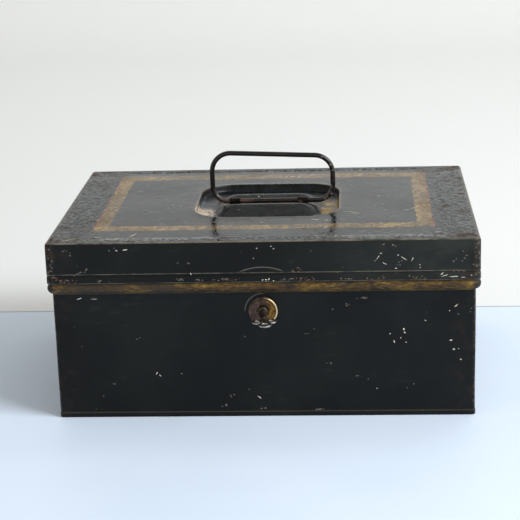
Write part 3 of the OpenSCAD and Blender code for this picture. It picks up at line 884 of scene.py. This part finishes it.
def lid_wall_out(spot, z, out, banded):
    if banded and spot.y > LID_Y - LID_R:
        return 0.0
    if not banded:
        out += front_lap(spot) * smooth_step(z, LID_TOP, LID_TOP - 2.5)
        free = smooth_step(z, SWAGE_Z, LID_FREE[0]) * smooth_step(z, LID_TOP, LID_FREE[1])
        out += ripple((spot.x, spot.y, z), 40, 0.3, 2) * free
    else:
        out -= 0.06 + ripple((spot.x, spot.y, z), 22, 0.12, 4)
    return out


DISH_SECTION = [
    (3.4, 0.0), (2.2, 0.12), (1.2, 0.22), (0.5, 0.1), (0.1, -0.4), (0.0, -1.2), (-0.4, -3.6), (-0.9, -4.6),
    (-1.8, -5.2), (-3.4, -5.5), (-8.0, -5.5), (-14.0, -5.5), (-22.0, -5.5),
]


def build_lid():
    columns = rounded(LID_X, LID_Y, LID_R, [LID_X - LAP_W - 0.2, LID_X - LAP_W + 0.2])
    rings, gaps = [], []
    for z, out, banded in lid_rows():
        rings.append([
            tuple(spot + outward * lid_wall_out(spot, z, out, banded)) + (z,) for spot, outward in columns
        ])
        gaps.append(0)
    middle = Vector((0, DISH_MID))
    rays = [(spot - outward * EDGE_R - middle) for spot, outward in columns]
    reach = DISH_SECTION[0][0]
    rims = [edge_along(ray.normalized(), DISH_X + reach, DISH_Y + reach, DISH_R + reach) for ray in rays]
    for share in [0.012] + [i / 14 for i in range(1, 14)]:
        ring = []
        for ray, rim in zip(rays, rims):
            across = ray.length + (rim - ray.length) * share
            p = middle + ray.normalized() * across
            fade = smooth_step(share, 0, 0.12) * smooth_step(share, 1, 0.9)
            ring.append((p.x, p.y, LID_TOP + top_warp(p.x, p.y, fade)))
        rings.append(ring)
        gaps.append(1)
    for reach, height in DISH_SECTION:
        ring = []
        for ray in rays:
            aim = ray.normalized()
            p = middle + aim * edge_along(aim, DISH_X + reach, DISH_Y + reach, DISH_R + reach)
            ring.append((p.x, p.y, LID_TOP + height + ripple((p.x, p.y, 0), 11, 0.15, 6)))
        rings.append(ring)
        gaps.append(2 if reach < 1 else 1)
    points, faces, bands = loft(rings, gaps[1:], last_cap=True)
    piece = mesh_piece("lid_skin", "lid", "black_japan", points, faces,
                       [LID_PAINT, TOP_PAINT, DISH_PAINT, INSIDE_PAINT], bands)
    solidify(piece, SHEET, 3)
    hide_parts("lid_shell", "handle_dish")


def soft_min(a, b, width):
    """The lower of two heights, rounded where they meet."""
    h = max(width - abs(a - b), 0) / width
    return min(a, b) - h * h * width / 4


def saddle_height(x, y):
    """Height of the saddle over the dish floor: two crests with a valley for the wire."""
    rise = saddle_high.z - DISH_FLOOR
    foot, crest = saddle_high.y - DISH_MID, 15.4
    valley = PIVOT.z - WIRE_R - 0.4 - DISH_FLOOR
    out = abs(y)
    outer = rise * (foot - out) / (foot - crest - 1)
    inner = valley + (rise - valley) * max(out - 3, 0) / (crest - 4)
    ends = rise * (saddle_high.x - 3 * (out / foot) ** 3 - abs(x)) / 10
    top = soft_min(soft_min(outer, inner, 1.6), rise, 0.8)
    return max(soft_min(top, ends, 4.0), 0)


def build_saddle():
    across = stops(saddle_high.x, 1.6, [34.5, 36.0, 37.5, 38.8])
    deep = stops(saddle_high.y - DISH_MID, 1.3, [3.0, 14.4, 15.4, 16.4])
    rings = []
    for y in deep:
        rings.append([
            (x, DISH_MID + y, DISH_FLOOR - 0.05 + saddle_height(x, y) + ripple((x, y, 0), 9, 0.08, 7))
            for x in across
        ])
    skin = loft(rings, round_=False)
    piece = mesh_piece("saddle_pressing", "lid", "black_japan", *skin[:2], [SADDLE_PAINT])
    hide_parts("handle_saddle")


# ------------------------------------------------------------------ handle


def handle_path():
    """The wire's centre line in X and Z, closed, from the bottom bar's left end."""
    left, right = handle_low.x + WIRE_R, handle_high.x - WIRE_R
    low_r, top_r, slope = 12.0, 14.0, radians(2.3)
    top_left = handle_high.z - PIVOT.z - WIRE_R + 0.3

    def arc(cx, cz, radius, start, end, count=14):
        return [
            (cx + radius * cos(radians(start + (end - start) * i / count)),
             cz + radius * sin(radians(start + (end - start) * i / count)))
            for i in range(count + 1)
        ]

    def top_z(x):
        return top_left - (x - left) * tan(slope) - top_r / cos(slope)

    def line(a, b, count):
        return [(a[0] + (b[0] - a[0]) * i / count, a[1] + (b[1] - a[1]) * i / count) for i in range(1, count)]

    lean = degrees(slope)
    corners = [
        arc(right - low_r, low_r, low_r, -90, 0),
        arc(right - top_r, top_z(right - top_r), top_r, 0, 90 - lean),
        arc(left + top_r, top_z(left + top_r), top_r, 90 - lean, 180),
        arc(left + low_r, low_r, low_r, 180, 270),
    ]
    path = []
    for corner, following in zip(corners, corners[1:] + corners[:1]):
        path += corner + line(corner[-1], following[0], 12)
    return [Vector((x, PIVOT.y, PIVOT.z + z)) for x, z in path]


def build_handle():
    points = handle_path()
    swept_wire = swept((points, Vector((0, 1, 0))), oval(WIRE_R - 0.03, WIRE_R - 0.03, 20), closed=True)
    piece = mesh_piece("handle_wire", "bail", "wire_steel", *swept_wire[:2], [WIRE_PAINT])
    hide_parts("handle")


# ---------------------------------------------------------- lock plate, key


def build_plate():
    """Pressed brass plate: rolled rim, dished face, round eye with a slot below for the bit."""
    edge = (plate_high.x - plate_low.x) / 2
    rim, wall = plate_low.y, -WALL_Y + 0.02
    outer = [(edge, wall), (edge, rim + 0.9), (edge - 0.12, rim + 0.4), (edge - 0.45, rim + 0.08),
             (edge - 0.8, rim), (edge - 1.15, rim + 0.1), (edge - 1.4, rim + 0.4), (edge - 1.6, rim + 0.75),
             (edge - 2.0, rim + 0.85)]
    collar = lathe_y(KEYHOLE, outer, 72, caps=(False, False))
    eye_r, slot_w = 3.5, 1.6
    face = [(edge - 2.0, 0.85), (7.6, 0.78), (6.6, 0.62), (5.6, 0.5), (4.7, 0.5), (4.1, 0.6), (3.7, 0.8),
            (eye_r, 1.2), (eye_r, 2.0)]
    rings = []
    for radius, depth in face:
        slot = asin(slot_w / radius)
        ring = []
        for i in range(65):
            turn = -pi / 2 + slot + (2 * pi - 2 * slot) * i / 64
            ring.append((KEYHOLE.x + radius * cos(turn), rim + depth, KEYHOLE.z + radius * sin(turn)))
        rings.append(ring)
    skin = join([collar, loft(rings, round_=False)])
    piece = mesh_piece("lock_plate", "case", "old_brass", *skin[:2], [BRASS_PLATE])
    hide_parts("escutcheon")


def ring_loop(centre, radius, half_across, half_up, count=40):
    """Flat ring lying level, with rounded edges."""
    points = [
        centre + Vector((radius * cos(a), radius * sin(a), 0))
        for a in (2 * pi * i / count for i in range(count))
    ]
    return swept((points, Vector((0, 0, 1))), oval(half_across, half_up, 14, 2.6), closed=True)


def build_key():
    """Pipe key: barrel with a bit, collar, and a pierced bow of three rings lying level."""
    barrel_r, mouth, tip = 2.8, -WALL_Y - 2.9, key_high.y
    lean = Matrix.Rotation(radians(7), 4, "Z")
    neck = Vector((0, mouth - 5, KEYHOLE.z))
    barrel = lathe_y(KEYHOLE, [
        (1.2, tip), (1.25, tip), (barrel_r - 0.3, tip), (barrel_r, tip - 0.3), (barrel_r, mouth + 0.1),
        (barrel_r + 0.55, mouth), (barrel_r + 0.88, mouth - 0.3), (barrel_r + 0.9, mouth - 0.8),
        (barrel_r + 0.88, mouth - 1.3), (barrel_r + 0.5, mouth - 1.6), (barrel_r - 0.35, mouth - 1.9),
        (barrel_r - 0.45, mouth - 2.6), (barrel_r - 0.1, mouth - 3.2), (barrel_r, mouth - 4.0),
        (barrel_r - 0.2, mouth - 5.2), (barrel_r - 0.7, mouth - 6.0),
    ])
    parts = [barrel]

    def placed(part):
        return [neck + lean @ Vector(p) for p in part[0]], part[1], part[2]

    shank = [(2.0, 0.5), (2.15, -1), (2.1, -5), (1.9, -9), (1.5, -11.5), (0.7, -12.3)]
    parts.append(placed(lathe_y(Vector((0, 0, 0)), shank, 32)))
    for x, y, r, w in ((-4.9, -17.2, 2.75, 1.15), (4.9, -17.2, 2.75, 1.15), (0, -24.0, 3.6, 1.2)):
        parts.append(placed(ring_loop(Vector((x, y, 0)), r, w, 0.88)))
    web = [Vector((0, y, 0)) for y in (-8, -12, -15, -18, -20.6)]
    parts.append(placed(swept((web, Vector((0, 0, 1))), oval(1.9, 0.8, 14, 2.6))))
    bit_y = (tip - 1.5, -WALL_Y + 2.0)
    notch = [(barrel_r - 0.5, bit_y[0]), (8.4, bit_y[0]), (8.4, bit_y[0] - 2.6), (6.9, bit_y[0] - 2.8),
             (6.9, bit_y[1] + 2.6), (8.4, bit_y[1] + 2.4), (8.4, bit_y[1]), (barrel_r - 0.5, bit_y[1])]
    sides = [[(x, y, KEYHOLE.z + s * 0.95) for x, y in notch] for s in (1, -1)]
    parts.append(loft(sides, first_cap=True, last_cap=True))
    piece = mesh_piece("lock_key", "key", "key_steel", *join(parts)[:2], [KEY_STEEL])
    bevel = piece.modifiers.new("soft_edges", "BEVEL")
    bevel.width = 0.15 * MM
    bevel.segments = 2
    bevel.limit_method = "ANGLE"
    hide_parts("key")


# -------------------------------------------------------------------- chips

LIFT = 0.09
FLAKE_POINTS = 12


def chip_outline(centre, length, width, angle, rng):
    """Ragged flake about a short line, in the plane of two coordinates."""
    turn = radians(angle)
    along, across = Vector((cos(turn), sin(turn))), Vector((-sin(turn), cos(turn)))
    spots = []
    for i in range(FLAKE_POINTS):
        a = 2 * pi * i / FLAKE_POINTS
        ragged = 0.5 + 0.8 * rng.random()
        long, wide = cos(a) * length / 2 * ragged, sin(a) * width / 2 * ragged
        spots.append(centre + along * long + across * wide)
    return spots


def build_chips(name, body, material, places, onto, seed):
    """Flakes a hair proud of a surface; onto(u, v) gives the point in space."""
    rng = random.Random(seed)
    points, faces = [], []
    for u, v, length, width, angle in places:
        base = len(points)
        outline = chip_outline(Vector((u, v)), 0.85 * length, 0.62 * width, angle, rng)
        points.append(onto(u, v))
        points += [onto(p.x, p.y) for p in outline]
        faces += [(base, base + 1 + i, base + 1 + (i + 1) % FLAKE_POINTS) for i in range(FLAKE_POINTS)]
    piece = mesh_piece(name, body, "black_japan", points, faces, [material])
    solidify(piece, LIFT * 0.9, 0)


def broken_up(places, seed):
    """Each scuff as a cluster of small flecks along its line."""
    rng = random.Random(seed)
    flecks = []
    for u, v, length, width, angle in places:
        turn = radians(angle)
        for _ in range(max(2, round(length / 1.2))):
            along, across = (rng.random() - 0.5) * length, (rng.random() - 0.5) * width
            size = rng.uniform(0.7, 1.7)
            flecks.append((u + along * cos(turn) - across * sin(turn),
                           v + along * sin(turn) + across * cos(turn),
                           1.4 * size, size, rng.uniform(-30, 30)))
    return flecks


def on_body_front(x, z):
    return (x, -WALL_Y - wall_dent(x, -WALL_Y, z) - LIFT, z)


def on_lid_front(x, z):
    out = BAND_OUT if z < SWAGE_Z - 1 else lid_wall_out(Vector((x, -LID_Y)), z, 0.0, 0)
    return (x, -LID_Y - out - LIFT, z)


def on_lid_top(x, y):
    return (x, y, LID_TOP + top_warp(x, y, 1.0) + LIFT)


def on_side(lid, spot_at):
    """Function from (along, height) to a point on one upright side; spot_at gives spot and outward."""
    def onto(along, z):
        spot, outward = spot_at(along)
        out = lid_wall_out(spot, z, 0.0, 0) if lid else wall_dent(spot.x, spot.y, z)
        edge = spot + outward * (out + LIFT)
        return (edge.x, edge.y, z)
    return onto


def sides(half_x, half_y):
    """The right, left and back sides: how far each runs, and its spots from left to right."""
    return {
        "right": (half_y, lambda along: (Vector((half_x, along)), Vector((1, 0)))),
        "left": (half_y, lambda along: (Vector((-half_x, -along)), Vector((-1, 0)))),
        "back": (half_x, lambda along: (Vector((-along, half_y)), Vector((0, 1)))),
    }


LID_FRONT_CHIPS = [
    (81.5, 119, 4.6, 0.9, 55), (83.6, 122, 1.7, 1.3, 20), (79.5, 116.6, 1.6, 1, 0),
    (86, 114.6, 4, 0.8, -28), (99.5, 118.2, 5.6, 0.9, -32), (105.5, 117.4, 4.2, 0.9, 62),
    (95.6, 120.6, 1.6, 1, 10), (94, 111, 1.8, 1.3, 0), (110.6, 113.4, 1.2, 1, 0),
    (110.8, 111.4, 1.3, 0.8, 0), (85.5, 128.4, 2.2, 0.8, 10), (92, 128, 1, 1.6, 80),
    (0.4, 103.7, 2, 1.4, 0), (2.8, 103.8, 1.8, 1.6, 20), (5, 104.2, 2.2, 1.6, 40), (8.2, 103, 1.2, 1.2, 0),
    (-3, 126.8, 1.6, 1.4, 0), (7, 128.2, 1.6, 0.9, 0), (8.6, 126.4, 1.4, 1, 0), (-5.4, 119.6, 0.9, 1.4, 80),
    (-96, 126.8, 4.2, 1.5, 10), (-102, 126.4, 2.2, 1.2, -20), (-50, 108.8, 2.2, 1.4, -60),
    (128, 105.4, 7, 1.1, 14), (134, 104.6, 6, 1.2, 0), (141, 104, 4, 0.9, 0), (126, 106.6, 3, 1.6, 30),
    (146.5, 105.4, 1.2, 1.4, 90),
]
LID_FRONT_GREY = [
    (-135, 121, 0.6, 9, 4), (-124, 113, 1.2, 4, -10), (-128, 110.6, 6, 0.8, 4), (-60, 104.6, 9, 1.6, 4),
    (-45, 104.8, 7, 1.8, -6), (-112, 104.2, 8, 1.4, 0), (-140, 104, 6, 2.2, 10), (-52, 117, 1.6, 3.2, 15),
    (20, 104, 14, 1, 2), (60, 104, 10, 1.2, 0), (138, 120, 0.8, 8, -40), (142, 118, 0.7, 7, -25),
    (134, 116, 0.8, 6, -50), (-148.5, 118, 1, 15, 2), (-138, 127, 4, 1, 0), (-30, 104.4, 12, 1.2, 3),
]
LID_FRONT_RUST = [
    (24, 110.8, 9, 3.4, 6), (30, 104.2, 14, 2, 0), (80, 104, 13, 2.6, 4), (110, 104.2, 12, 2.4, -4),
    (-147, 107.6, 6, 2.6, 0), (-138, 104.4, 16, 2.4, 0), (-22, 104.2, 12, 1.6, 0), (138, 108, 10, 1.2, 0),
]
BODY_FRONT_CHIPS = [
    (99.4, 65.2, 1.4, 3.4, 20), (100, 62.6, 1.6, 2, 0), (89.6, 61.8, 1.2, 1.4, 0), (92.6, 55.6, 1, 3.6, 22),
    (101, 55.2, 1.4, 1.2, 0), (97.2, 58.6, 1, 1.8, -20), (114.6, 71.4, 1.2, 1.4, 0),
    (136, 82, 4.2, 1.2, 38), (131.6, 78.4, 1.2, 1.8, 0), (-131, 90.4, 5, 1.2, 20), (-120, 90, 6, 0.8, 0),
    (-78, 33.4, 2.6, 1.2, 60), (-75.6, 31.6, 2.4, 0.9, -40), (-4.4, 14.2, 3.6, 1.1, -38),
    (134.6, 49.6, 1.2, 3.8, 80), (132.6, 56.4, 1, 3, 90), (139.6, 42, 1.6, 2, 0), (138, 50, 1, 1.2, 0),
    (-60, 33, 1, 0.8, 0), (80, 20.5, 1.2, 0.9, 0),
]
BODY_FRONT_GREY = [
    (70, 88.6, 7, 1, 0), (60, 84, 4, 2, 30), (-24, 16, 3.6, 1.6, 30), (-30, 8.4, 4, 2, 40),
    (-12, 20, 2, 2.2, 0), (30, 62, 4, 0.8, 0), (-90, 60, 3, 0.8, 10), (66, 30, 3.6, 0.8, -10),
    (-110, 25, 2.4, 1.2, 20), (46, 40, 4.6, 0.7, 8), (-3, 5.6, 5, 0.8, 0), (40, 4.6, 8, 0.5, 0),
]
LID_TOP_CHIPS = [
    (15, 80.6, 5, 2.4, 20), (20.5, 79.4, 4.2, 1.8, -20), (10.6, 80.8, 2, 1.6, 0), (37, -55, 6, 1.6, -12),
    (45, -57.6, 4, 1.4, 30), (-2.4, -60, 2, 1.4, 0), (61, -34, 10, 0.7, -22), (66, -38.4, 6, 1.2, -6),
    (111, -24, 15, 0.7, 42), (104, -31, 5, 0.8, 20), (-93, -92, 1, 17, -22), (-106, -101, 13, 0.7, 0),
    (-118, -96, 7, 0.9, 8), (-138, -102, 11, 0.8, 30), (66, 88, 3, 1.2, 0), (124, -94, 5, 1.4, 10),
]


def scattered(count, low, high, longest, seed):
    """Small flakes at scattered places inside a rectangle."""
    rng = random.Random(seed)
    spots = []
    for _ in range(count):
        size = 0.6 + longest * rng.random() ** 3
        spots.append((rng.uniform(low[0], high[0]), rng.uniform(low[1], high[1]), size,
                      size * rng.uniform(0.3, 0.8), rng.uniform(0, 180)))
    return spots


def build_all_chips():
    for seed, (name, body, material, places, onto) in enumerate([
        ("lid_front_chips", "lid", CREAM_CHIP, LID_FRONT_CHIPS, on_lid_front),
        ("lid_front_scuffs", "lid", GREY_CHIP, broken_up(LID_FRONT_GREY, 2), on_lid_front),
        ("lid_front_rust", "lid", RUST_CHIP, broken_up(LID_FRONT_RUST, 3), on_lid_front),
        ("body_front_chips", "case", CREAM_CHIP, BODY_FRONT_CHIPS, on_body_front),
        ("body_front_scuffs", "case", GREY_CHIP, broken_up(BODY_FRONT_GREY, 5), on_body_front),
        ("lid_top_chips", "lid", CREAM_CHIP, LID_TOP_CHIPS, on_lid_top),
    ], 1):
        build_chips(name, body, material, places, onto, seed)
    for seed, (side, (half, spot_at)) in enumerate(sides(WALL_X, WALL_Y).items(), 10):
        places = scattered(26, (6 - half, HEM_Z + 4), (half - 6, BEAD_Z - BEAD_R - 4), 3.6, seed)
        build_chips("body_%s_chips" % side, "case", CREAM_CHIP, places, on_side(False, spot_at), seed)
    for seed, (side, (half, spot_at)) in enumerate(sides(LID_X, LID_Y).items(), 20):
        places = [p for p in scattered(14, (12 - half, SWAGE_Z + 3), (half - 12, LID_TOP - 3), 3.2, seed)
                  if side != "back" or abs(abs(p[0]) - HINGE_X) > HINGE_GAP]
        build_chips("lid_%s_chips" % side, "lid", CREAM_CHIP, places, on_side(True, spot_at), seed)


# ------------------------------------------------------------- floor, camera


def build_stage():
    """Pale bluish table that turns white behind the box and curves up into a wall."""
    paint = Paint("pale_table", **{"Specular IOR Level": 0.3})
    cloud = paint.noise(240, 3.0)
    behind = paint.span(paint.y, 137, 141)
    table = paint.blend(cloud, srgb(208, 222, 240), srgb(222, 233, 246))
    paint.colour = paint.blend(behind, table, srgb(228, 229, 228))
    # Painted shade: a thin darker line across the table, where a table meets a wall.
    paint.coat(line_at(paint, paint.y, 139, 1.6), srgb(150, 164, 180))
    rough = paint.spread(cloud, 0.3, 0.7, 0.5, 0.62)
    paint.bump((paint.noise(2, 3.0), 0.02))
    material = paint.finish(rough)
    half, near, wall, cove, floor, top = 3200, -1700, 2000, 500, -0.3, 2600
    section = [(near, floor), (0, floor), (wall - cove, floor)]
    for i in range(1, 9):
        turn = radians(90 * i / 8)
        section.append((wall - cove + cove * sin(turn), cove * (1 - cos(turn)) + floor))
    section.append((wall, top))
    rings = [[(-half, y, z), (half, y, z)] for y, z in section]
    points, faces, _ = loft(rings, round_=False)
    faces = [tuple(reversed(face)) for face in faces]
    smooth_mesh("table_and_wall", points, faces, [material])


def area_light(name, place, aim, size, power, colour):
    light = bpy.data.lights.new(name, "AREA")
    light.shape = "RECTANGLE"
    light.size, light.size_y = size
    light.energy = power
    light.color = colour
    lamp = bpy.data.objects.new(name, light)
    bpy.context.scene.collection.objects.link(lamp)
    lamp.location = place
    lamp.rotation_euler = (Vector(aim) - Vector(place)).to_track_quat("-Z", "Y").to_euler()


def build_lights():
    area_light("window_right", (1.6, -0.8, 1.5), (0, 0, 0.1), (1.2, 1.0), 56, (0.92, 0.96, 1.0))
    area_light("wall_wash", (0.3, 0.9, 2.2), (0, 2.0, 0.6), (2.4, 0.6), 11, (1.0, 0.99, 0.96))
    world = bpy.data.worlds.new("pale_room")
    bpy.context.scene.world = world
    world.use_nodes = True
    tree = world.node_tree
    sky = tree.nodes["Background"]
    place = tree.nodes.new("ShaderNodeTexCoord")
    split = tree.nodes.new("ShaderNodeSeparateXYZ")
    tree.links.new(place.outputs["Generated"], split.inputs[0])
    fade = tree.nodes.new("ShaderNodeMapRange")
    fade.interpolation_type = "SMOOTHSTEP"
    for key, value in (("From Min", 0.25), ("From Max", 0.85), ("To Min", 0.86), ("To Max", 0.34)):
        fade.inputs[key].default_value = value
    tree.links.new(split.outputs["Z"], fade.inputs["Value"])
    tree.links.new(fade.outputs["Result"], sky.inputs["Strength"])
    sky.inputs["Color"].default_value = (1.0, 0.98, 0.94, 1)


# Solved from six corners in the photo, in metres and degrees.
CAMERA_PLACE = (0.0671, -1.1794, 0.4344)
CAMERA_TURNS = (16.45, -3.642, -1.781)
CAMERA_LENS = 110.3
CAMERA_SENSOR = 36


def build_camera():
    pitch, yaw, roll = (radians(a) for a in CAMERA_TURNS)
    forward = Vector((sin(yaw) * cos(pitch), cos(yaw) * cos(pitch), -sin(pitch)))
    right = Vector((cos(yaw), -sin(yaw), 0))
    up = right.cross(forward)
    side = cos(roll) * right + sin(roll) * up
    top = cos(roll) * up - sin(roll) * right
    lens = bpy.data.cameras.new("front_camera")
    lens.lens = CAMERA_LENS
    lens.sensor_width = CAMERA_SENSOR
    camera = bpy.data.objects.new("front_camera", lens)
    bpy.context.scene.collection.objects.link(camera)
    axes = Matrix((side, top, -forward)).transposed()
    camera.matrix_world = Matrix.Translation(CAMERA_PLACE) @ axes.to_4x4()
    bpy.context.scene.camera = camera


bpy.context.scene.view_settings.view_transform = "Standard"
build_camera()
build_body()
build_lid()
build_saddle()
build_handle()
build_plate()
build_key()
build_all_chips()
build_stage()
build_lights()
